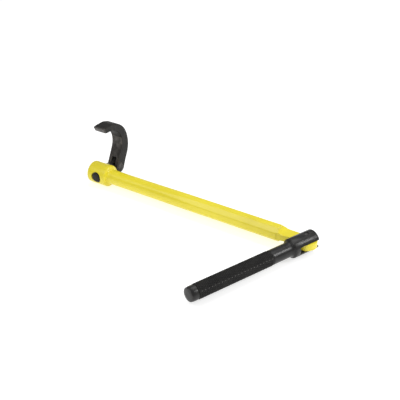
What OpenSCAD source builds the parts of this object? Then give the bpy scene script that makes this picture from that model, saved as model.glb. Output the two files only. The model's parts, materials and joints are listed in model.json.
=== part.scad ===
// Adjustable basin wrench with a swivelling hook jaw and a folding handle.
// The tool lies flat. The shaft runs along X, with the head at -X and the handle joint at +X.
// The hook stands up along +Z behind the head (+Y), and the handle is folded towards -Y.
// The origin is under the middle of the whole tool, on the surface that it lies on.

/* [Shaft] */
// Diameter of the round bar of the shaft
shaft_d = 16; // [15.5:0.1:16.5]
// Width across the flats where the bar is eight-sided
flat_w = 15.8; // [15:0.1:16]
// Diameter over the rounded corners of the eight-sided stretch
corner_d = 16.8; // [16:0.1:17]
// Length of the eight-sided stretch
flats_len = 118; // [60:1:160]
// Distance from the head's cross bore to the handle's hinge pin
reach = 246; // [220:1:320]

/* [Head] */
// Diameter of the boss that carries the cross shank
boss_d = 23.5; // [23:0.1:24]
// Length of the boss along the shaft
boss_len = 24.5; // [23:0.5:28]
// Distance from the boss's free end to the cross bore
bore_from_end = 12.4; // [11.5:0.1:13]
// Diameter of the cross shank that turns in the boss
shank_d = 10; // [9.6:0.1:10.4]

/* [Hook] */
// Distance from the shaft's axis to the hook's pivot pin
pivot_y = 23.5; // [23:0.1:25]
// Width of the hook along the shaft
hook_w = 14; // [13:0.1:15]
// Width of the slot that makes the hook's two cheeks
slot_w = 6.2; // [6:0.1:6.6]
// Distance from the pivot pin to the slot's roof, along the hook's leg
roof_d = 9.3; // [9:0.1:10]
// Radius of the round foot about the pivot pin
foot_r = 6.6; // [6.4:0.1:7]
// Radius of the hook's back
back_r = 30.6; // [30:0.1:31]
// Radius of the throat that holds the nut
throat_r = 19.6; // [19:0.1:20]
// Diameter of the hook's pivot pin
hook_pin_d = 4.4; // [4:0.1:4.8]

/* [Handle] */
// Angle between the folded handle and the shaft
fold_angle = 69.5; // [69:0.5:110]
// Distance from the hinge pin to the free end of the handle
handle_len = 136.5; // [130:0.5:160]
// Diameter of the knurled grip
grip_d = 14.8; // [14.6:0.1:15.6]
// Length of the knurled grip
grip_len = 84; // [60:0.5:84.5]
// Diameter of the smooth neck between the fork and the grip
neck_d = 14.2; // [13.6:0.1:14.2]
// Diameter of the fork
fork_d = 19.2; // [18.8:0.1:20]
// Height of the fork's slot
fork_slot = 7.4; // [7.2:0.1:7.6]
// Diameter of the hinge pin
fork_pin_d = 5; // [4.5:0.1:5.5]

/* [Hidden] */
$fn = 64;

// Clearances, on the radius for round fits
run_gap = 0.05;
snug_gap = 0.02;
face_gap = 0.3;

// Tongue that sits in the handle's fork
eye_r = 11.2;
tongue_t = 6.6;
tongue_neck = 12.8;
step_x = 27.5;
step_r = (shaft_d - tongue_t) / 2;
washer_t = 0.3;
washer_r = 8;

// Fork and handle, measured from the hinge pin along the handle
fork_end = 9.3;
fork_edge = 0.8;
fork_side = sqrt(pow(fork_d / 2, 2) - pow(fork_slot / 2, 2));
fork_floor = 14.8;
fork_shoulder = 19;
fork_foot = 21.5;
neck_start = 24;
end_len = 7.5;
grip_start = handle_len - end_len - grip_len;
end_d = grip_d - 0.6;
end_face_d = grip_d - 2.2;
end_chamfer = 2.6;

// Cross shank, snap ring and washer, measured along Y from the shaft's axis
boss_flat_y = 10.4;
washer_in = 0.7;
flange_t = 2.6;
flange_r = 7.4;
flange_y = boss_flat_y + washer_in + 2 * run_gap;
lug_y = flange_y + flange_t;
lug_t = 3.6;
lug_x = -1;
lug_r = 5.5;
stop_d = roof_d - face_gap;
ring_y = -9.9;
ring_t = 0.9;
ring_seat_r = 6.1;
ring_groove_r = 4.5;
shank_end_y = -12.1;

// Spring-loaded ball under the cross shank
ball_r = 1.5;
ball_seat = 0.5;
ball_z = -(shank_d / 2 + ball_r - ball_seat);
detent_bore_r = 2;
detent_spring_t = 1.6;
detent_screw_top = ball_z - ball_r - detent_spring_t;
detent_screw_end = -boss_d / 2 + 0.4;

// Outline of the hook in the Y-Z plane, measured from the shaft's axis
pivot = [pivot_y, 0];
back_c = [9.5, 25];
throat_c = [8.5, 29];
to_back = pivot - back_c;
to_throat = pivot - throat_c;
back_start = atan2(to_back[1], to_back[0]) + acos((back_r - foot_r) / norm(to_back));
throat_start = atan2(to_throat[1], to_throat[0]) + acos((throat_r + foot_r) / norm(to_throat));
leg_lean = -(back_start + throat_start) / 2;
back_end = 104;
throat_end = 96;
tip = [[0.2, 54.5], [-0.9, 54.1], [-1.3, 53.3], [1.6, 48.9], [2.4, 48.5]];

// Point a across and d up the hook's leaning leg, from the pivot
function leg(a, d) =
    pivot + [a * cos(leg_lean) + d * sin(leg_lean), d * cos(leg_lean) - a * sin(leg_lean)];

// Place of the head, the joint and the whole tool
fold_x = -cos(fold_angle);
fold_y = -sin(fold_angle);
min_x = -bore_from_end;
max_x = reach - fold_x * (fork_end - fork_edge) + sin(fold_angle) * fork_side;
min_y = fold_y * handle_len - cos(fold_angle) * end_face_d / 2;
max_y = back_c[0] + back_r;
head_x = -(min_x + max_x) / 2;
mid_y = -(min_y + max_y) / 2;
axis_z = boss_d / 2;

// Points of an arc about c, from angle a to angle b, in n steps
function arc(c, r, a, b, n) =
    [for (i = [0:n]) c + r * [cos(a + (b - a) * i / n), sin(a + (b - a) * i / n)]];

module at_head() {
    translate([head_x, mid_y, axis_z]) children();
}

module at_joint() {
    translate([head_x + reach, mid_y, axis_z]) children();
}

// Local Z runs from the hinge pin along the handle, and local X points down
module along_handle() {
    at_joint() rotate([0, 0, 180 + fold_angle]) rotate([0, 90, 0]) children();
}

// Local Z runs along the shaft towards the handle
module along_shaft() {
    at_head() rotate([0, 90, 0]) children();
}

// Local Z runs away from the shaft's axis along +Y
module along_shank() {
    at_head() rotate([-90, 0, 0]) children();
}

// Extrudes an outline drawn in the Y-Z plane, centred on x
module plate_x(x, t) {
    at_head() translate([x - t / 2, 0, 0]) rotate([90, 0, 90]) linear_extrude(t) children();
}

// Rod or bore along X through the hook's pivot
module pivot_rod(r, x0, x1) {
    at_head() translate([x0, pivot_y, 0]) rotate([0, 90, 0]) cylinder(r = r, h = x1 - x0);
}

// Local origin at the hook's pivot, with Z up the leaning leg
module at_leg() {
    at_head() translate([0, pivot_y, 0]) rotate([-leg_lean, 0, 0]) children();
}

module ring(outer_r, inner_r, h) {
    difference() {
        cylinder(r = outer_r, h = h);
        translate([0, 0, -1]) cylinder(r = inner_r, h = h + 2);
    }
}

// Bar and boss, turned about the shaft's axis, up to the start of the flats
module boss_and_bar() {
    boss_r = boss_d / 2;
    bar_r = shaft_d / 2;
    shoulder = boss_len - bore_from_end;
    flats_x = reach - step_x - flats_len;
    round_r = 1.6;
    along_shaft() rotate_extrude() polygon(concat(
        [[0, -bore_from_end]],
        arc([boss_r - round_r, round_r - bore_from_end], round_r, -90, 0, 6),
        arc([boss_r - 2.2, shoulder - 2.2], 2.2, 0, 70, 6),
        arc([bar_r + 1.6, shoulder + 1.5], 1.6, 250, 180, 5),
        [[bar_r, flats_x], [0, flats_x]]
    ));
}

// Eight-sided stretch of the bar, with rounded corners
module faceted_bar() {
    along_shaft() translate([0, 0, reach - step_x - flats_len]) intersection() {
        cylinder(d = corner_d, h = flats_len);
        rotate([0, 0, 22.5]) cylinder(r = flat_w / 2 / cos(22.5), h = flats_len, $fn = 8);
    }
}

// Flat tongue with a round eye, and the hollow steps that run down to it
module tongue() {
    at_joint() difference() {
        union() {
            translate([0, 0, -tongue_t / 2]) cylinder(r = eye_r, h = tongue_t);
            translate([0, 0, -flat_w / 2]) linear_extrude(flat_w) polygon([
                [-step_x, -flat_w * 0.3], [-16, -tongue_neck / 2], [0, -tongue_neck / 2],
                [0, tongue_neck / 2], [-16, tongue_neck / 2], [-step_x, flat_w * 0.3]
            ]);
        }
        for (side = [-1, 1]) {
            translate([step_r - step_x, 0, side * (tongue_t / 2 + step_r)])
                rotate([90, 0, 0]) cylinder(r = step_r, h = 40, center = true);
            translate([step_r - step_x, -20, side > 0 ? tongue_t / 2 : -tongue_t / 2 - 12])
                cube([40, 40, 12]);
        }
    }
}

module shaft() {
    color("gold") difference() {
        union() {
            boss_and_bar();
            faceted_bar();
            tongue();
        }
        // Cross bore, with a flat for the washer and a seat for the snap ring
        along_shank() {
            translate([0, 0, -20]) cylinder(r = shank_d / 2 + run_gap, h = 40);
            translate([0, 0, boss_flat_y]) cylinder(r = 9, h = 10);
            translate([0, 0, -20]) cylinder(r = ring_seat_r, h = 20 + ring_y + ring_t + run_gap);
        }
        // Threaded hole for the detent
        at_head() translate([0, 0, -boss_d]) cylinder(r = detent_bore_r + snug_gap, h = boss_d);
        at_joint() cylinder(r = fork_pin_d / 2 + run_gap, h = 40, center = true);
    }
}

module detent_ball() {
    color("silver") at_head() translate([0, 0, ball_z]) sphere(r = ball_r);
}

module detent_spring() {
    color("silver") at_head() translate([0, 0, detent_screw_top + snug_gap])
        ring(1.5, 0.8, detent_spring_t);
}

module detent_screw() {
    socket_r = 1.15;
    color("dimgray") at_head() difference() {
        translate([0, 0, detent_screw_end])
            cylinder(r = detent_bore_r, h = detent_screw_top - detent_screw_end);
        translate([0, 0, detent_screw_end - 1]) cylinder(r = socket_r, h = 2, $fn = 6);
    }
}

// Shank, flange and lug in one forging. The lug's shoulder stops the hook when it is upright
module swivel_shank() {
    color([0.13, 0.13, 0.13]) difference() {
        union() {
            along_shank() {
                translate([0, 0, shank_end_y]) cylinder(d1 = shank_d - 1.2, d2 = shank_d, h = 0.6);
                translate([0, 0, shank_end_y + 0.6]) cylinder(d = shank_d, h = flange_y - shank_end_y);
                translate([0, 0, flange_y]) cylinder(r = flange_r, h = flange_t);
            }
            plate_x(lug_x, lug_t) union() {
                translate(pivot) circle(r = lug_r);
                polygon([
                    [lug_y - 1, -lug_r], [pivot_y, -lug_r], leg(lug_r, 0),
                    leg(-0.6, stop_d), leg(-5.8, stop_d), [lug_y - 1, lug_r]
                ]);
            }
        }
        along_shank() translate([0, 0, ring_y - run_gap])
            ring(shank_d, ring_groove_r, ring_t + 2 * run_gap);
        along_shank() rotate_extrude()
            translate([-ball_z, 0]) circle(r = ball_r + run_gap, $fn = 32);
        pivot_rod(hook_pin_d / 2 + run_gap, -hook_w, hook_w);
    }
}

module wave_washer() {
    color("silver") along_shank() translate([0, 0, boss_flat_y + run_gap])
        ring(flange_r, shank_d / 2 + face_gap, washer_in);
}

module snap_ring() {
    gap = 3;
    color("dimgray") along_shank() difference() {
        translate([0, 0, ring_y]) ring(ring_seat_r - run_gap, ring_groove_r + run_gap, ring_t);
        translate([-gap / 2, -10, ring_y - 1]) cube([gap, 10, ring_t + 2]);
    }
}

module hook() {
    color([0.13, 0.13, 0.13]) difference() {
        plate_x(0, hook_w) polygon(concat(
            arc(pivot, foot_r, 180 + throat_start, 360 + back_start, 24),
            arc(back_c, back_r, back_start, back_end, 36),
            tip,
            arc(throat_c, throat_r, throat_end, throat_start, 28)
        ));
        at_leg() translate([-slot_w / 2, -15, -20]) cube([slot_w, 30, 20 + roof_d]);
        pivot_rod(hook_pin_d / 2 + snug_gap, -hook_w, hook_w);
    }
}

module hook_pin() {
    chamfer = 0.4;
    tip_r = hook_pin_d / 2 - chamfer;
    half = hook_w / 2;
    color("dimgray") at_head() translate([-half, pivot_y, 0]) rotate([0, 90, 0]) union() {
        cylinder(r1 = tip_r, r2 = hook_pin_d / 2, h = chamfer);
        translate([0, 0, chamfer]) cylinder(d = hook_pin_d, h = hook_w - 2 * chamfer);
        translate([0, 0, hook_w - chamfer]) cylinder(r1 = hook_pin_d / 2, r2 = tip_r, h = chamfer);
    }
}

// Torsion spring beside the lug: its coil is a plain ring here, with its two legs
module hook_spring() {
    wire = 0.8;
    x0 = lug_x + lug_t / 2 + face_gap;
    x1 = slot_w / 2 - face_gap;
    coil_r = 3.9;
    color("peru") union() {
        difference() {
            pivot_rod(coil_r, x0, x1);
            pivot_rod(hook_pin_d / 2 + face_gap, x0 - 1, x1 + 1);
        }
        at_leg() translate([x1 - wire, coil_r - wire, 0]) cube([wire, wire, roof_d - 0.5]);
        at_head() translate([x0, pivot_y - 6.5, -coil_r]) cube([wire, 6.5, wire]);
    }
}

module handle() {
    color([0.16, 0.16, 0.16]) difference() {
        along_handle() rotate_extrude() polygon(concat(
            [[0, -fork_end], [fork_d / 2 - fork_edge, -fork_end], [fork_d / 2, fork_edge - fork_end]],
            [[fork_d / 2, fork_shoulder], [fork_d / 2 - 1.3, fork_foot]],
            [[neck_d / 2, neck_start], [neck_d / 2, grip_start - 0.5]],
            [[grip_d / 2, grip_start], [grip_d / 2, grip_start + grip_len]],
            [[end_d / 2, grip_start + grip_len + 0.5], [end_d / 2, handle_len - end_chamfer]],
            [[end_face_d / 2, handle_len], [0, handle_len]]
        ));
        along_handle() translate([-fork_slot / 2, -20, -20]) cube([fork_slot, 40, 20 + fork_floor]);
        at_joint() cylinder(r = fork_pin_d / 2 + snug_gap, h = 40, center = true);
    }
}

module fork_pin() {
    half = sqrt(pow(fork_d / 2, 2) - pow(fork_pin_d / 2, 2));
    chamfer = 0.4;
    color("dimgray") at_joint() for (side = [0, 1]) mirror([0, 0, side]) {
        cylinder(d = fork_pin_d, h = half - chamfer);
        translate([0, 0, half - chamfer])
            cylinder(d1 = fork_pin_d, d2 = fork_pin_d - 2 * chamfer, h = chamfer);
    }
}

// Friction washer between the tongue and one ear of the fork
module joint_washer() {
    translate([0, 0, tongue_t / 2 + run_gap]) ring(washer_r, fork_pin_d / 2 + run_gap, washer_t);
}

module upper_washer() {
    color("silver") at_joint() joint_washer();
}

module lower_washer() {
    color("silver") at_joint() mirror([0, 0, 1]) joint_washer();
}

shaft();
detent_ball();
detent_spring();
detent_screw();
swivel_shank();
wave_washer();
snap_ring();
hook();
hook_pin();
hook_spring();
handle();
fork_pin();
upper_washer();
lower_washer();
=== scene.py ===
import json
import math

import bmesh
import bpy
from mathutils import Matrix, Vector


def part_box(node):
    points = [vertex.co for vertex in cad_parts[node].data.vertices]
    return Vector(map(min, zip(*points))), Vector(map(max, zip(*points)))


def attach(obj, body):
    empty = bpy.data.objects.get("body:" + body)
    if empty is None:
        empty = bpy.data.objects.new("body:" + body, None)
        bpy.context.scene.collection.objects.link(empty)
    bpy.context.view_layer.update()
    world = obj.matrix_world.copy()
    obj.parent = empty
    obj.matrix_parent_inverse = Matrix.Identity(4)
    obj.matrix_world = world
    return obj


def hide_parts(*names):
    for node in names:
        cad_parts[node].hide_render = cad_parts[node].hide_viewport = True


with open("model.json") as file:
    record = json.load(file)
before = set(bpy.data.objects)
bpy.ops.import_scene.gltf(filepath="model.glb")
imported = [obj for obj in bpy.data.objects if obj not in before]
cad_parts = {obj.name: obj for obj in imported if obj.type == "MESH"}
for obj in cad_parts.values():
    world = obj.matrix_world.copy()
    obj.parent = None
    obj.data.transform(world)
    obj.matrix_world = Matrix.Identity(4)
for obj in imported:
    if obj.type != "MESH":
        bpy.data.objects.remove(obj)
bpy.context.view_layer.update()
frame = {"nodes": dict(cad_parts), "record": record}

# ---------------------------------------------------------------- places and sizes, in metres
MM = 0.001
JOINTS = {j["name"]: j for j in frame["record"]["behaviour"]["joints"]}
HEAD = Vector(JOINTS["head_swivel"]["pos_m"])
PIVOT = Vector(JOINTS["jaw_pivot"]["pos_m"])
HINGE = Vector(JOINTS["handle_fold"]["pos_m"])
MOUNTS = {m["name"]: m for m in frame["record"]["mounts"]}
ALONG_HANDLE = Vector(MOUNTS["grip"]["axis"]).normalized()
GRIP_R = MOUNTS["grip"]["dims"]["r_mm"] * MM
GRIP_LEN = MOUNTS["grip"]["dims"]["length_mm"] * MM
GRIP_MID = (Vector(MOUNTS["grip"]["pos_m"]) - HINGE).length
HANDLE_LEN = (Vector(MOUNTS["grip_end"]["pos_m"]) - HINGE).length
REACH = HINGE.x - HEAD.x
X_AXIS = Vector((1, 0, 0))
Y_AXIS = Vector((0, 1, 0))
Z_AXIS = Vector((0, 0, 1))

# The shaft, with x measured from the cross bore
BOSS_R = HEAD.z
BOSS_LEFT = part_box("shaft")[0][0] - HEAD.x
BOSS_RIGHT = 12.1 * MM
BOSS_EDGE = 1.7 * MM
BOSS_SHOULDER = 2.4 * MM
BOSS_ROOT = 1.7 * MM
BAR_R = 8 * MM
FLAT_R = 7.9 * MM
CORNER_R = 8.4 * MM
FLATS = 8
FLATS_GROW = (0.045, 0.15)
CORNERS_GROW = (0.06, 0.13)
TONGUE_T = 3.3 * MM
STEP_X = REACH - 27.5 * MM
STEP_R = 4.7 * MM
STEP_LEN = 6.4 * MM
STEP_SHIFT = 0.8 * MM
EYE_R = 11.2 * MM
NECK_W = 6.4 * MM
SHAFT_SIDES = 144

# The hook, in the Y-Z plane about the cross bore; its rings are counted from the foot
HOOK_HALF = (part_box("hook")[1][0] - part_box("hook")[0][0]) / 2
FOOT_C = Vector((PIVOT.y - HEAD.y, PIVOT.z - HEAD.z))
FOOT_R = 6.6 * MM
BACK_R = 30.6 * MM
THROAT_R = 19.6 * MM
BACK_C = Vector((9.5, 25)) * MM
THROAT_C = Vector((8.5, 29)) * MM
BACK_END = math.radians(103)
THROAT_END = math.radians(96)
FOOT_STEPS = 14
LEG_STEPS = 9
ARC_STEPS = 48
FOOT_TO_LEG = (12, 20)
BACK_TO_TIP = (36, 50)
MILLED = slice(8, 38)
TIP = (((4.2, 48.7), (1.0, 55.25)), ((2.4, 49.1), (-0.6, 55.1)), ((1.4, 49.6), (-1.3, 54.7)))
SLOT_HALF = 3.1 * MM
ROOF_D = 9.3 * MM
PIN_R = 2.2 * MM

# The cross shank, with y measured from the shaft's axis
SHANK_R = 5 * MM
GROOVE_R = 4.5 * MM
FLANGE_R = 7.4 * MM
SNUG = 0.02 * MM
RUNNING = 0.05 * MM

# The handle, measured from the hinge pin
FORK_R = 9.6 * MM
FORK_END = 9.3 * MM
FORK_SLOT = 3.7 * MM
FORK_FLOOR = 14.8 * MM
FORK_PIN_R = 2.5 * MM
FORK_ROUNDING = 0.8 * MM
FILLET_START = 20.5 * MM
FILLET_LEN = 4.0 * MM
FILLET_R = 1.3 * MM
NECK_R = 7.1 * MM
KNURL_STARTS = 26
KNURL_PITCH = 1.8 * MM
KNURL_DEPTH = 0.45 * MM
KNURL_STEPS = 6
KNURL_LEAD = 0.7 * MM

# ---------------------------------------------------------------- camera, light and floor
AZIMUTH = math.radians(32.99)
ELEVATION = math.radians(30.7)
AIM = HEAD + Vector((0.15467, -0.04211, 0.03719))
DISTANCE = 0.700
LENS = 67.5
SENSOR = 36
CLIP = (0.01, 20)
FLOOR_HALF = 3.0
FLOOR_TONE = 0.6
FLOOR_GLOW = 0.65
WORLD_LIGHT = 0.36
LIGHTS_AIM = Vector((0, 0, 0.02))
LIGHTS = (
    ("key", (-0.35, -0.75, 1.0), (0.9, 0.6), 5.5),
    ("top", (0.0, 0.5, 1.1), (0.9, 0.5), 3.5),
    ("side", (0.88, 0.36, 0.73), (0.32, 0.42), 6.0),
)


def make_camera():
    back = Vector((
        math.sin(AZIMUTH) * math.cos(ELEVATION),
        -math.cos(AZIMUTH) * math.cos(ELEVATION),
        math.sin(ELEVATION),
    ))
    data = bpy.data.cameras.new("camera")
    data.lens = LENS
    data.sensor_width = SENSOR
    data.clip_start, data.clip_end = CLIP
    cam = bpy.data.objects.new("camera", data)
    cam.location = AIM + back * DISTANCE
    cam.rotation_mode = "QUATERNION"
    cam.rotation_quaternion = (-back).to_track_quat("-Z", "Y")
    bpy.context.collection.objects.link(cam)
    bpy.context.scene.camera = cam


def area_light(name, place, size, power):
    data = bpy.data.lights.new(name, "AREA")
    data.shape = "RECTANGLE"
    data.size, data.size_y = size
    data.energy = power
    light = bpy.data.objects.new(name, data)
    light.location = place
    light.rotation_mode = "QUATERNION"
    light.rotation_quaternion = (LIGHTS_AIM - Vector(place)).to_track_quat("-Z", "Y")
    bpy.context.collection.objects.link(light)


def make_stage():
    mesh = bpy.data.meshes.new("floor")
    corners = [(sx * FLOOR_HALF, sy * FLOOR_HALF, 0) for sx, sy in ((-1, -1), (1, -1), (1, 1), (-1, 1))]
    mesh.from_pydata(corners, [], [(0, 1, 2, 3)])
    floor = bpy.data.objects.new("floor", mesh)
    bpy.context.collection.objects.link(floor)
    mat = bpy.data.materials.new("floor")
    mat.use_nodes = True
    shader = mat.node_tree.nodes["Principled BSDF"]
    shader.inputs["Base Color"].default_value = (FLOOR_TONE, FLOOR_TONE, FLOOR_TONE, 1)
    shader.inputs["Roughness"].default_value = 0.9
    shader.inputs["Specular IOR Level"].default_value = 0.1
    shader.inputs["Emission Color"].default_value = (1, 1, 1, 1)
    shader.inputs["Emission Strength"].default_value = FLOOR_GLOW
    mesh.materials.append(mat)
    world = bpy.data.worlds.new("studio")
    world.use_nodes = True
    background = world.node_tree.nodes["Background"]
    background.inputs["Color"].default_value = (1, 1, 1, 1)
    background.inputs["Strength"].default_value = WORLD_LIGHT
    bpy.context.scene.world = world
    bpy.context.scene.view_settings.view_transform = "Standard"
    for light in LIGHTS:
        area_light(*light)


# ---------------------------------------------------------------- materials
class Nodes:
    """Short calls for building one material's node tree."""

    def __init__(self, name):
        self.mat = bpy.data.materials.new(name)
        self.mat.use_nodes = True
        self.tree = self.mat.node_tree
        self.shader = self.tree.nodes["Principled BSDF"]
        self.place = self.add("ShaderNodeTexCoord").outputs["Object"]

    def add(self, kind, **settings):
        node = self.tree.nodes.new(kind)
        for key, value in settings.items():
            setattr(node, key, value)
        return node

    def link(self, out, socket):
        self.tree.links.new(out, socket)

    def noise(self, scale, detail, place=None):
        node = self.add("ShaderNodeTexNoise")
        node.inputs["Scale"].default_value = scale
        node.inputs["Detail"].default_value = detail
        node.inputs["Roughness"].default_value = 0.55
        self.link(place or self.place, node.inputs["Vector"])
        return node.outputs["Fac"]

    def stretched(self, scale):
        node = self.add("ShaderNodeMapping")
        node.inputs["Scale"].default_value = scale
        self.link(self.place, node.inputs["Vector"])
        return node.outputs["Vector"]

    def along(self, axis):
        """Place measured along one axis only, for rings of turned metal."""
        node = self.add("ShaderNodeVectorMath", operation="PROJECT")
        self.link(self.place, node.inputs[0])
        node.inputs[1].default_value = axis
        return node.outputs["Vector"]

    def ramp(self, fac, *stops):
        node = self.add("ShaderNodeValToRGB")
        ramp = node.color_ramp
        while len(ramp.elements) < len(stops):
            ramp.elements.new(0.5)
        for element, (at, color) in zip(ramp.elements, stops):
            element.position = at
            element.color = (*color, 1)
        self.link(fac, node.inputs["Fac"])
        return node.outputs["Color"]

    def mix(self, fac, first, second):
        """Color between the output first and the plain color second."""
        node = self.add("ShaderNodeMix", data_type="RGBA", blend_type="MIX")
        self.link(fac, node.inputs[0])
        self.link(first, node.inputs[6])
        node.inputs[7].default_value = (*second, 1)
        return node.outputs[2]

    def worn(self, low, high):
        """Mask that is 1 on convex edges."""
        geometry = self.add("ShaderNodeNewGeometry")
        return self.ramp(geometry.outputs["Pointiness"], (low, (0, 0, 0)), (high, (1, 1, 1)))

    def spread(self, fac, low, high):
        node = self.add("ShaderNodeMapRange")
        node.inputs["To Min"].default_value = low
        node.inputs["To Max"].default_value = high
        self.link(fac, node.inputs["Value"])
        return node.outputs["Result"]

    def bump(self, fac, strength, distance, normal=None):
        node = self.add("ShaderNodeBump")
        node.inputs["Strength"].default_value = strength
        node.inputs["Distance"].default_value = distance
        self.link(fac, node.inputs["Height"])
        if normal:
            self.link(normal, node.inputs["Normal"])
        return node.outputs["Normal"]

    def finish(self, color, rough, normal, **fixed):
        for value, name in ((color, "Base Color"), (rough, "Roughness"), (normal, "Normal")):
            self.link(value, self.shader.inputs[name])
        for name, value in fixed.items():
            self.shader.inputs[name.replace("_", " ")].default_value = value
        return self.mat


def yellow_paint():
    """Baked enamel: faint orange peel, slight tone drift, thinner and darker along edges."""
    n = Nodes("yellow_paint")
    drift = n.ramp(n.noise(22, 3), (0.35, (0.79, 0.665, 0.018)), (0.65, (0.86, 0.735, 0.026)))
    specks = n.ramp(n.noise(1500, 2), (0.70, (0, 0, 0)), (0.78, (1, 1, 1)))
    base = n.mix(n.spread(specks, 0.0, 0.12), drift, (0.62, 0.48, 0.02))
    color = n.mix(n.spread(n.worn(0.53, 0.60), 0.0, 0.25), base, (0.62, 0.50, 0.03))
    rough = n.spread(n.noise(160, 4), 0.30, 0.44)
    peel = n.bump(n.noise(650, 2), 0.10, 0.0004)
    normal = n.bump(n.noise(60, 2), 0.06, 0.0015, peel)
    return n.finish(color, rough, normal, Coat_Weight=0.25, Coat_Roughness=0.22)


def black_forging():
    """Black oxide over drop-forged steel: fine scale texture, brownish patches, rubbed edges."""
    n = Nodes("black_forging")
    tone = n.ramp(n.noise(70, 5), (0.35, (0.011, 0.011, 0.011)), (0.70, (0.022, 0.020, 0.018)))
    grain = n.stretched((1.0, 1.0, 0.12))
    streak = n.ramp(n.noise(900, 3, place=grain), (0.45, (0, 0, 0)), (0.72, (1, 1, 1)))
    streaked = n.mix(n.spread(streak, 0.0, 0.45), tone, (0.050, 0.046, 0.042))
    color = n.mix(n.spread(n.worn(0.52, 0.62), 0.0, 0.7), streaked, (0.10, 0.092, 0.088))
    rough = n.spread(n.noise(240, 4), 0.36, 0.58)
    coarse = n.bump(n.noise(380, 4), 0.22, 0.0005)
    normal = n.bump(n.noise(2400, 2), 0.12, 0.0002, coarse)
    return n.finish(color, rough, normal, Metallic=0.12, Specular_IOR_Level=0.17)


def rubbed_forging():
    """Oxide worn thin where nuts and the shank rub: greyer, with grain along the leg."""
    n = Nodes("rubbed_forging")
    grain = n.noise(1500, 3, place=n.stretched((1.0, 1.0, 0.06)))
    patch = n.noise(190, 3)
    tone = n.ramp(patch, (0.40, (0.016, 0.015, 0.014)), (0.66, (0.110, 0.100, 0.095)))
    color = n.mix(n.spread(grain, 0.0, 0.7), tone, (0.060, 0.055, 0.052))
    rough = n.spread(n.noise(300, 3), 0.34, 0.52)
    normal = n.bump(grain, 0.25, 0.0003)
    return n.finish(color, rough, normal, Metallic=0.5)


def black_bar():
    """Black oxide on turned bar: fine rings around the axis and a satin sheen."""
    n = Nodes("black_bar")
    rings = n.noise(3200, 3, place=n.along(ALONG_HANDLE))
    tone = n.ramp(n.noise(90, 4), (0.35, (0.013, 0.013, 0.013)), (0.70, (0.023, 0.022, 0.021)))
    ringed = n.mix(n.spread(rings, 0.0, 0.25), tone, (0.040, 0.040, 0.041))
    color = n.mix(n.spread(n.worn(0.52, 0.62), 0.0, 0.65), ringed, (0.13, 0.125, 0.12))
    rough = n.spread(n.noise(300, 3), 0.24, 0.36)
    normal = n.bump(rings, 0.16, 0.00015, n.bump(n.noise(500, 3), 0.06, 0.0003))
    return n.finish(color, rough, normal, Metallic=0.15, Specular_IOR_Level=0.3)


def knurl_steel():
    """Black oxide on the knurl: dull in the grooves, lighter on the points, partly as rubbed wear and partly
    as a painted highlight.
    """
    n = Nodes("knurl_steel")
    tone = n.ramp(n.noise(110, 4), (0.35, (0.008, 0.008, 0.008)), (0.70, (0.015, 0.015, 0.014)))
    # The points are painted lighter: partly rubbed wear, partly a painted highlight where light catches them
    color = n.mix(n.spread(n.worn(0.52, 0.66), 0.0, 0.8), tone, (0.11, 0.105, 0.10))
    rough = n.spread(n.noise(400, 3), 0.42, 0.60)
    normal = n.bump(n.noise(2600, 2), 0.10, 0.0002)
    return n.finish(color, rough, normal, Metallic=0.1, Specular_IOR_Level=0.15)


def bare_steel(name, dark, light, roughness, metallic):
    """Ground or darkened steel with fine scratches and faint stains."""
    n = Nodes(name)
    color = n.ramp(n.noise(260, 5), (0.3, dark), (0.7, light))
    rough = n.spread(n.noise(700, 3), roughness - 0.06, roughness + 0.08)
    normal = n.bump(n.noise(1800, 3), 0.10, 0.0002)
    return n.finish(color, rough, normal, Metallic=metallic)


# ---------------------------------------------------------------- mesh helpers
def link_mesh(name, bm, material):
    bm.normal_update()
    bmesh.ops.recalc_face_normals(bm, faces=bm.faces)
    mesh = bpy.data.meshes.new(name)
    bm.to_mesh(mesh)
    bm.free()
    obj = bpy.data.objects.new(name, mesh)
    bpy.context.collection.objects.link(obj)
    if material:
        mesh.materials.append(material)
    return obj


def smooth(obj, angle):
    obj.data.shade_smooth()
    obj.data.set_sharp_from_angle(angle=math.radians(angle))


def skin(name, rings, material):
    """Closed solid through a list of rings, each with the same number of points."""
    bm = bmesh.new()
    rows = [[bm.verts.new(p) for p in ring] for ring in rings]
    count = len(rows[0])
    for a, b in zip(rows, rows[1:]):
        for i in range(count):
            k = (i + 1) % count
            bm.faces.new((a[i], a[k], b[k], b[i]))
    bm.faces.new(rows[0])
    bm.faces.new(rows[-1][::-1])
    return link_mesh(name, bm, material)


def across(axis):
    """Two unit vectors square to axis, the second one as near to +Z as it can be."""
    up = Z_AXIS if abs(axis.z) < 0.9 else Y_AXIS
    side = up.cross(axis).normalized()
    return side, axis.cross(side).normalized()


def full_turn(count):
    return [2 * math.pi * i / count for i in range(count)]


def quarter(i, count):
    """Angle of step i when a quarter turn has count steps."""
    return i / count * math.pi / 2


def circle(centre, side, up, radius, count):
    return [centre + (side * math.cos(a) + up * math.sin(a)) * radius for a in full_turn(count)]


def turned(name, start, axis, profile, material=None, count=96):
    """Lathe solid: profile is a list of (distance along axis, radius)."""
    side, up = across(axis)
    rings = [circle(start + axis * along, side, up, radius, count) for along, radius in profile]
    return skin(name, rings, material)


def domed_pin(name, start, axis, length, dome, material, count):
    """Pin with the same domed end at both ends; dome runs from the end's middle to the full radius."""
    profile = dome + [(length - along, radius) for along, radius in reversed(dome)]
    pin = turned(name, start, axis, profile, material, count)
    smooth(pin, 60)
    return pin


def slab(name, centre, half, axes):
    """Box with half sizes along three axes."""
    bm = bmesh.new()
    bmesh.ops.create_cube(bm, size=2)
    for v in bm.verts:
        v.co = centre + sum((axes[k] * v.co[k] * half[k] for k in range(3)), Vector())
    return link_mesh(name, bm, None)


def apply_modifiers(obj):
    graph = bpy.context.evaluated_depsgraph_get()
    mesh = bpy.data.meshes.new_from_object(obj.evaluated_get(graph))
    obj.modifiers.clear()
    obj.data = mesh


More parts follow.
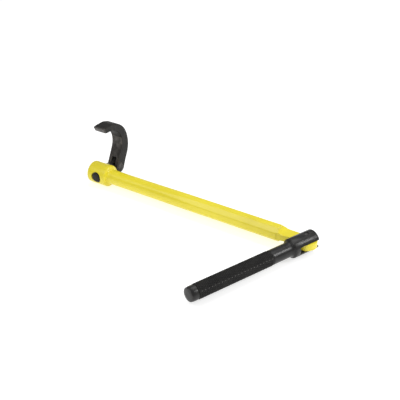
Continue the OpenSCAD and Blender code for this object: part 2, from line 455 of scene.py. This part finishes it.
def combine(obj, tool, operation="DIFFERENCE"):
    mod = obj.modifiers.new("combine", "BOOLEAN")
    mod.object = tool
    mod.operation = operation
    mod.solver = "EXACT"
    mod.material_mode = "TRANSFER"
    apply_modifiers(obj)
    bpy.data.objects.remove(tool)


def bevel(obj, width, angle=40, segments=2):
    """Round the edges sharper than angle, in degrees."""
    mod = obj.modifiers.new("bevel", "BEVEL")
    mod.width = width
    mod.segments = segments
    mod.limit_method = "ANGLE"
    mod.angle_limit = math.radians(angle)
    mod.use_clamp_overlap = True
    apply_modifiers(obj)
    return obj


def rod(start, axis, length, radius):
    """Round cutter."""
    return turned("rod", start, axis, [(0, radius), (length, radius)])


def blend(value, low, high):
    """0 below low, 1 above high, smooth between."""
    t = min(max((value - low) / (high - low), 0), 1)
    return t * t * (3 - 2 * t)


def soft_min(values, sharp=90):
    """Smallest value, eased down where two are nearly the same."""
    least = min(values)
    return least * sum((least / v) ** sharp for v in values) ** (-1 / sharp)


def place_piece(obj, body, slot, *nodes):
    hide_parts(*nodes)
    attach(obj, body)


# ---------------------------------------------------------------- shaft
def bar_radius(x):
    """Round outline of boss and bar."""
    if x < BOSS_LEFT + BOSS_EDGE:
        d = BOSS_LEFT + BOSS_EDGE - x
        return BOSS_R - BOSS_EDGE + math.sqrt(max(BOSS_EDGE**2 - d**2, 0))
    if x < BOSS_RIGHT - BOSS_SHOULDER:
        return BOSS_R
    if x < BOSS_RIGHT:
        d = x - BOSS_RIGHT + BOSS_SHOULDER
        rounding = BOSS_R - BOSS_SHOULDER + math.sqrt(max(BOSS_SHOULDER**2 - d**2, 0))
        return max(rounding, BAR_R + BOSS_ROOT)
    if x < BOSS_RIGHT + BOSS_ROOT:
        d = BOSS_RIGHT + BOSS_ROOT - x
        return BAR_R + BOSS_ROOT - math.sqrt(max(BOSS_ROOT**2 - d**2, 0))
    return BAR_R + (CORNER_R - BAR_R) * blend(x, *CORNERS_GROW)


def section(x, angle):
    """Radius of the shaft's outline at x in the direction angle about its axis."""
    parts = [bar_radius(x)]
    if x > BOSS_RIGHT + 20 * MM:
        apothem = FLAT_R + 0.6 * MM * (1 - blend(x, *FLATS_GROW))
        for flat in range(FLATS):
            lean = math.cos(angle - flat * 2 * math.pi / FLATS)
            if lean > 0.5:
                parts.append(apothem / lean)
    if x > STEP_X:
        # The hollow step: a longer curve on top than below, down to the flat tongue
        start, length = (STEP_X, STEP_LEN) if angle < math.pi else (STEP_X + STEP_SHIFT, STEP_R)
        d = min(max(start + length - x, 0) / length, 1)
        height = TONGUE_T + STEP_R * (1 - math.sqrt(1 - d**2))
        flat_face = height / max(abs(math.sin(angle)), 1e-4)
        neck = NECK_W + 0.9 * MM * (1 - blend(x, STEP_X, STEP_X + 12 * MM))
        u = x - REACH
        eye = math.sqrt(max(EYE_R**2 - u * u, 1e-8))
        width = eye if u > 0 else max(neck, eye)
        if u > -13 * MM:
            # Past the neck the eye is wider than the bar, so the round outline no longer bounds it
            parts = [flat_face]
        else:
            parts.append(flat_face)
        parts.append(width / max(abs(math.cos(angle)), 1e-4))
    return soft_min(parts)


def shaft_stations():
    """Places of the shaft's rings, from the boss's free end to the end of the eye."""
    plain = BOSS_RIGHT - BOSS_LEFT - BOSS_EDGE - BOSS_SHOULDER
    steps = [BOSS_LEFT + BOSS_EDGE * (1 - math.cos(quarter(i, 8))) for i in range(9)]
    steps += [BOSS_LEFT + BOSS_EDGE + plain * i / 6 for i in range(1, 7)]
    steps += [BOSS_RIGHT - BOSS_SHOULDER + BOSS_SHOULDER * math.sin(quarter(i, 8)) for i in range(1, 8)]
    steps += [BOSS_RIGHT + BOSS_ROOT * (1 - math.cos(quarter(i, 8))) for i in range(9)]
    first = BOSS_RIGHT + 2.2 * MM
    last = STEP_X - 0.3 * MM
    steps += [first + (last - first) * i / 60 for i in range(61)]
    steps += [STEP_X + 0.02 * MM + STEP_LEN * (1 - math.cos(quarter(i, 18))) for i in range(19)]
    neck_start = STEP_X + STEP_LEN + 0.5 * MM
    eye_start = REACH - EYE_R
    steps += [neck_start + (eye_start - neck_start) * i / 10 for i in range(10)]
    steps += [REACH - EYE_R * math.cos(i / 44 * math.pi) for i in range(44)]
    return steps


def make_shaft(material):
    rings = []
    for x in shaft_stations():
        centre = Vector((HEAD.x + x, HEAD.y, HEAD.z))
        rings.append([
            centre + Vector((0, math.cos(a), math.sin(a))) * section(x, a) for a in full_turn(SHAFT_SIDES)
        ])
    body = skin("shaft_body", rings, material)
    cross_bore = rod(HEAD - Y_AXIS * 20 * MM, Y_AXIS, 40 * MM, SHANK_R + RUNNING)
    flange_face = rod(HEAD + Y_AXIS * 10.4 * MM, Y_AXIS, 10 * MM, 9 * MM)
    ring_seat = rod(HEAD - Y_AXIS * 20 * MM, Y_AXIS, 11.05 * MM, 6.1 * MM)
    detent_hole = rod(HEAD - Z_AXIS * 20 * MM, Z_AXIS, 20 * MM, 2.02 * MM)
    hinge_bore = rod(HINGE - Z_AXIS * 20 * MM, Z_AXIS, 40 * MM, FORK_PIN_R + RUNNING)
    for cutter in (cross_bore, flange_face, ring_seat, detent_hole, hinge_bore):
        combine(body, cutter)
    smooth(body, 32)
    place_piece(body, "shaft", "yellow_paint", "shaft")


# ---------------------------------------------------------------- hook
def tangent_angle(centre, gap):
    """Direction from an arc's centre to the point where the leg's straight side meets the arc."""
    to_foot = FOOT_C - centre
    return math.atan2(to_foot.y, to_foot.x) + math.acos(gap / to_foot.length)


def polar(centre, radius, angle):
    return centre + Vector((math.cos(angle), math.sin(angle))) * radius


def leg_sides():
    """Directions from the centres of back and throat to the ends of the leg's straight sides."""
    return tangent_angle(BACK_C, BACK_R - FOOT_R), tangent_angle(THROAT_C, THROAT_R + FOOT_R)


def hook_stations():
    """Pairs (inner point, outer point) from foot to tip."""
    back_a, throat_a = leg_sides()
    inner_a = throat_a + math.pi
    outer_a = back_a + 2 * math.pi
    mid_a = (inner_a + outer_a) / 2
    pairs = []
    for i in range(1, FOOT_STEPS + 1):
        t = math.sin(quarter(i, FOOT_STEPS)) ** 1.5
        pairs.append((
            polar(FOOT_C, FOOT_R, mid_a + (inner_a - mid_a) * t),
            polar(FOOT_C, FOOT_R, mid_a + (outer_a - mid_a) * t),
        ))
    inner_0, outer_0 = pairs[-1]
    inner_1 = polar(THROAT_C, THROAT_R, throat_a)
    outer_1 = polar(BACK_C, BACK_R, back_a)
    for i in range(1, LEG_STEPS + 1):
        t = i / LEG_STEPS
        pairs.append((inner_0.lerp(inner_1, t), outer_0.lerp(outer_1, t)))
    top = BACK_C.y + BACK_R - 0.02 * MM
    for i in range(1, ARC_STEPS + 1):
        inner = polar(THROAT_C, THROAT_R, throat_a + (THROAT_END - throat_a) * i / ARC_STEPS)
        outer = polar(BACK_C, BACK_R, back_a + (BACK_END - back_a) * i / ARC_STEPS)
        outer.y = min(outer.y + 0.6 * MM * blend(i, 36, ARC_STEPS), top)
        pairs.append((inner, outer))
    pairs += [(Vector(inner) * MM, Vector(outer) * MM) for inner, outer in TIP]
    return pairs


def rounded_box(a, b, radii, steps=6):
    """Points of a rectangle 2a by 2b; radii are those of the corners (+,+), (-,+), (-,-), (+,-)."""
    signs = ((1, 1), (-1, 1), (-1, -1), (1, -1))

    def on_corner(corner, t):
        r = radii[corner]
        sx, sy = signs[corner]
        return (a - r) * sx + r * math.cos(t), (b - r) * sy + r * math.sin(t)

    points = []
    for corner in range(4):
        points += [on_corner(corner, (corner + i / steps) * math.pi / 2) for i in range(steps + 1)]
        x0, y0 = points[-1]
        x1, y1 = on_corner((corner + 1) % 4, (corner + 1) * math.pi / 2)
        points += [(x0 + (x1 - x0) * k / 4, y0 + (y1 - y0) * k / 4) for k in (1, 2, 3)]
    return points


def hook_ring(inner, outer, half_width, inner_edge, outer_edge):
    """Section of the hook between two points, with its roundings on the inner and the outer side."""
    centre = (inner + outer) / 2
    out = outer - inner
    half = out.length / 2
    out = out.normalized()
    in_r = min(inner_edge, half * 0.9)
    out_r = min(outer_edge, half * 0.9)
    ring = []
    for u, v in rounded_box(half, half_width, (out_r, in_r, in_r, out_r)):
        p = centre + out * u
        ring.append(Vector((HEAD.x + v, HEAD.y + p.x, HEAD.z + p.y)))
    return ring


def milled_face(pairs, material):
    """Cutter for the shallow milled track down the hook's inner face."""
    rings = []
    for inner, outer in pairs[MILLED]:
        out = (outer - inner).normalized()
        a = inner - out * 2 * MM
        b = inner + out * 0.35 * MM
        rings.append(hook_ring(a, b, HOOK_HALF + MM, 0.2 * MM, 0.2 * MM))
    return skin("milled", rings, material)


def leg_axes():
    """Axes of the hook's leg: across its width, through its thickness and up along it."""
    lean = -sum(leg_sides()) / 2
    return X_AXIS, Vector((0, math.cos(lean), -math.sin(lean))), Vector((0, math.sin(lean), math.cos(lean)))


def make_hook(material, rubbed):
    """Forged jaw: rounded at the foot, softest along the back, with a rubbed track and tip."""
    pairs = hook_stations()
    rings = []
    last = len(pairs) - 1
    for k, (inner, outer) in enumerate(pairs):
        narrowing = (1.1, 0.5, 0.15)[k] if k < 3 else 0.45 if k == last else 0
        outer_edge = (1.0 + 1.3 * blend(k, *FOOT_TO_LEG) - 1.5 * blend(k, *BACK_TO_TIP)) * MM
        rings.append(hook_ring(inner, outer, HOOK_HALF - narrowing * MM, 0.8 * MM, outer_edge))
    hook = skin("hook_jaw", rings, material)
    hook.data.materials.append(rubbed)
    tip_face = max(hook.data.polygons, key=lambda p: (len(p.vertices), p.center.z))
    tip_face.material_index = 1
    combine(hook, milled_face(pairs, rubbed))
    axes = leg_axes()
    deep = 15 * MM
    slot = slab("slot", PIVOT + axes[2] * (ROOF_D - deep), (SLOT_HALF, deep, deep), axes)
    combine(hook, bevel(slot, 1.0 * MM, segments=4))
    combine(hook, rod(PIVOT - X_AXIS * 10 * MM, X_AXIS, 20 * MM, PIN_R + SNUG))
    bevel(hook, 0.22 * MM, angle=50)
    smooth(hook, 38)
    place_piece(hook, "jaw", "black_forging", "hook")


def make_hook_pin(material):
    dome = [
        (0.0, 0.6 * MM), (0.05 * MM, 1.2 * MM), (0.18 * MM, 1.75 * MM),
        (0.45 * MM, 2.1 * MM), (0.8 * MM, PIN_R),
    ]
    start = PIVOT - X_AXIS * HOOK_HALF
    pin = domed_pin("hook_rivet", start, X_AXIS, 2 * HOOK_HALF, dome, material, 48)
    place_piece(pin, "jaw", "dark_steel", "hook_pin")


def make_torsion_spring(material):
    """One and a quarter turns of wire on the pivot pin, with a leg off each end of the coil."""
    wire_r = 0.42 * MM
    coil_r = 3.15 * MM
    turns = 1.25
    steps = 72
    lo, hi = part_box("hook_spring")
    x0 = lo[0] + wire_r + SNUG
    x1 = hi[0] - wire_r - SNUG
    up_leg = leg_axes()[2]
    end_a = -math.atan2(up_leg.y, up_leg.z)
    start_a = end_a - turns * 2 * math.pi
    coil = []
    for i in range(steps + 1):
        t = i / steps
        a = start_a + (end_a - start_a) * t
        around = Vector((0, math.cos(a), math.sin(a))) * coil_r
        coil.append(Vector((x0 + (x1 - x0) * t, PIVOT.y, PIVOT.z)) + around)
    lead = coil[0] + Vector((0, math.sin(start_a), -math.cos(start_a))) * 3.0 * MM
    tail = coil[-1] + up_leg * 5.2 * MM
    route = [lead, *coil, tail]
    rings = []
    for i, p in enumerate(route):
        ahead = (route[min(i + 1, len(route) - 1)] - route[max(i - 1, 0)]).normalized()
        side = (X_AXIS - ahead * ahead.x).normalized()
        rings.append(circle(p, side, ahead.cross(side), wire_r, 14))
    spring = skin("torsion_spring", rings, material)
    smooth(spring, 60)
    place_piece(spring, "jaw", "spring_steel", "hook_spring")


# ---------------------------------------------------------------- cross shank
def make_lug():
    """Flat lug from the flange to the hook's pin, with the shoulder that stops the hook."""
    lug_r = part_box("swivel_shank")[1][1] - PIVOT.y
    through_leg, up_leg = leg_axes()[1:]
    stop = ROOF_D - 0.3 * MM
    face_y = HEAD.y + 13 * MM
    end_a = math.atan2(through_leg.z, through_leg.y)
    outline = [Vector((0, face_y, PIVOT.z + lug_r * 0.7)), Vector((0, face_y, PIVOT.z - lug_r))]
    for i in range(19):
        a = -math.pi / 2 + i / 18 * (math.pi / 2 + end_a)
        outline.append(Vector((0, PIVOT.y + lug_r * math.cos(a), PIVOT.z + lug_r * math.sin(a))))
    outline.append(PIVOT - through_leg * 0.6 * MM + up_leg * stop)
    outline.append(PIVOT - through_leg * 2.6 * MM + up_leg * stop)
    sides = (HEAD.x - 2.8 * MM, HEAD.x + 0.8 * MM)
    return skin("lug", [[(x, p.y, p.z) for p in outline] for x in sides], None)


def make_shank(material):
    """Shank with its domed near end, ring groove, detent groove and flange, joined to the hook's lug."""
    end = -12.1 * MM
    profile = [
        (end, 1.6 * MM), (end, 3.6 * MM), (end + 0.12 * MM, 4.2 * MM), (end + 0.4 * MM, 4.65 * MM),
        (end + 0.9 * MM, 4.95 * MM), (end + 1.2 * MM, SHANK_R),
    ]
    profile += [(-9.95 * MM, SHANK_R), (-9.95 * MM, GROOVE_R), (-8.95 * MM, GROOVE_R), (-8.95 * MM, SHANK_R)]
    profile += [
        (-1.18 * MM, SHANK_R), (-0.8 * MM, 4.67 * MM), (-0.4 * MM, 4.5 * MM), (0.0, 4.45 * MM),
        (0.4 * MM, 4.5 * MM), (0.8 * MM, 4.67 * MM), (1.18 * MM, SHANK_R),
    ]
    profile += [
        (11.2 * MM, SHANK_R), (11.2 * MM, 7.1 * MM), (11.5 * MM, FLANGE_R), (13.1 * MM, FLANGE_R),
        (13.55 * MM, 7.2 * MM), (13.8 * MM, 6.7 * MM),
    ]
    shank = turned("cross_shank", HEAD, Y_AXIS, profile, material)
    combine(shank, make_lug(), "UNION")
    combine(shank, rod(PIVOT - X_AXIS * 10 * MM, X_AXIS, 20 * MM, PIN_R + RUNNING))
    bevel(shank, 0.25 * MM, angle=50)
    smooth(shank, 38)
    place_piece(shank, "swivel", "black_forging", "swivel_shank")


# ---------------------------------------------------------------- handle
def handle_profile():
    """Turned outline: fork, shoulder, fillet, neck, the bar under the knurl and the smooth end."""
    grip_0 = GRIP_MID - GRIP_LEN / 2
    grip_1 = GRIP_MID + GRIP_LEN / 2
    end_r = GRIP_R - 0.3 * MM
    under = GRIP_R - 0.75 * MM
    edge_r = FORK_R - FORK_ROUNDING
    profile = [(-FORK_END, 2 * MM), (-FORK_END, 5.5 * MM), (-FORK_END, edge_r)]
    for i in range(1, 6):
        a = quarter(i, 5)
        profile.append((-FORK_END + FORK_ROUNDING * (1 - math.cos(a)), edge_r + FORK_ROUNDING * math.sin(a)))
    profile += [(0, FORK_R), (9 * MM, FORK_R), (19.2 * MM, FORK_R), (19.5 * MM, FORK_R - 0.12 * MM)]
    profile += [(20.3 * MM, FORK_R - 0.95 * MM), (FILLET_START, FORK_R - 1.2 * MM)]
    for i in range(1, 9):
        a = quarter(i, 8)
        profile.append((FILLET_START + FILLET_LEN * (1 - math.cos(a)), NECK_R + FILLET_R * (1 - math.sin(a))))
    profile += [(26 * MM, NECK_R), (36 * MM, NECK_R), (grip_0 - 1.0 * MM, NECK_R), (grip_0 - 0.5 * MM, under)]
    profile += [(grip_1 + 0.1 * MM, under), (grip_1 + 0.55 * MM, end_r)]
    profile += [(HANDLE_LEN - 3.0 * MM, end_r), (HANDLE_LEN - 2.6 * MM, end_r - 0.06 * MM)]
    profile += [(HANDLE_LEN - 0.7 * MM, GRIP_R - 0.65 * MM), (HANDLE_LEN - 0.2 * MM, GRIP_R - 0.85 * MM)]
    profile += [(HANDLE_LEN, GRIP_R - 1.15 * MM), (HANDLE_LEN, 3 * MM)]
    return profile


def make_handle(material):
    bar = turned("handle_bar", HINGE, ALONG_HANDLE, handle_profile(), material, count=120)
    half = (FORK_FLOOR + 20 * MM) / 2
    middle = HINGE + ALONG_HANDLE * (FORK_FLOOR - half)
    combine(bar, slab("slot", middle, (half, 20 * MM, FORK_SLOT), (ALONG_HANDLE, *across(ALONG_HANDLE))))
    combine(bar, rod(HINGE - Z_AXIS * 20 * MM, Z_AXIS, 40 * MM, FORK_PIN_R + SNUG))
    bevel(bar, 0.3 * MM, angle=50)
    smooth(bar, 35)
    place_piece(bar, "handle", "black_bar", "handle")


def make_knurl(material):
    """Diamond knurl: two crossing sets of grooves around the grip."""
    count = KNURL_STARTS * KNURL_STEPS
    rows = round(GRIP_LEN / (KNURL_PITCH / KNURL_STEPS))
    side, up = across(ALONG_HANDLE)
    first = GRIP_MID - GRIP_LEN / 2
    land = 0.18

    def groove(phase):
        return abs((phase % 1.0) - 0.5) * 2

    rings = []
    for row in range(rows + 1):
        s = GRIP_LEN * row / rows
        # The knurl runs out over a short lead at either end
        lead = min(1.0, s / KNURL_LEAD, (GRIP_LEN - s) / KNURL_LEAD)
        turn = s / KNURL_PITCH / 2
        centre = HINGE + ALONG_HANDLE * (first + s)
        ring = []
        for i, a in enumerate(full_turn(count)):
            around = i / count * KNURL_STARTS
            cut = max(groove(around + turn), groove(around - turn))
            sunk = max((cut - land) / (1 - land), 0)
            r = GRIP_R - KNURL_DEPTH * (1 - lead) - KNURL_DEPTH * sunk * lead
            ring.append(centre + (side * math.cos(a) + up * math.sin(a)) * r)
        rings.append(ring)
    knurl = skin("grip_knurl", rings, material)
    smooth(knurl, 25)
    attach(knurl, "handle")


def make_fork_pin(material):
    lo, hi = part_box("fork_pin")
    dome = [
        (0.0, 0.7 * MM), (0.03 * MM, 1.5 * MM), (0.15 * MM, 2.0 * MM),
        (0.4 * MM, 2.35 * MM), (0.8 * MM, FORK_PIN_R),
    ]
    start = Vector((HINGE.x, HINGE.y, lo[2]))
    pin = domed_pin("hinge_rivet", start, Z_AXIS, hi[2] - lo[2], dome, material, 56)
    place_piece(pin, "handle", "dark_steel", "fork_pin")


# ---------------------------------------------------------------- the whole tool
make_camera()
make_stage()
forging = black_forging()
dark = bare_steel("dark_steel", (0.050, 0.048, 0.046), (0.095, 0.092, 0.090), 0.42, 0.8)
bright = bare_steel("bright_steel", (0.42, 0.42, 0.43), (0.60, 0.60, 0.61), 0.32, 1.0)
wire = bare_steel("spring_steel", (0.20, 0.15, 0.10), (0.36, 0.28, 0.20), 0.34, 1.0)

make_shaft(yellow_paint())
make_hook(forging, rubbed_forging())
make_hook_pin(dark)
make_torsion_spring(wire)
make_shank(forging)
make_handle(black_bar())
make_knurl(knurl_steel())
make_fork_pin(dark)

# The CAD nodes that stay as they are, each with its material
KEPT = {
    "detent_ball": bright, "detent_spring": wire, "detent_screw": dark, "wave_washer": bright,
    "snap_ring": dark, "upper_washer": bright, "lower_washer": bright,
}
for name, material in KEPT.items():
    for part_slot in frame["nodes"][name].material_slots:
        part_slot.material = material
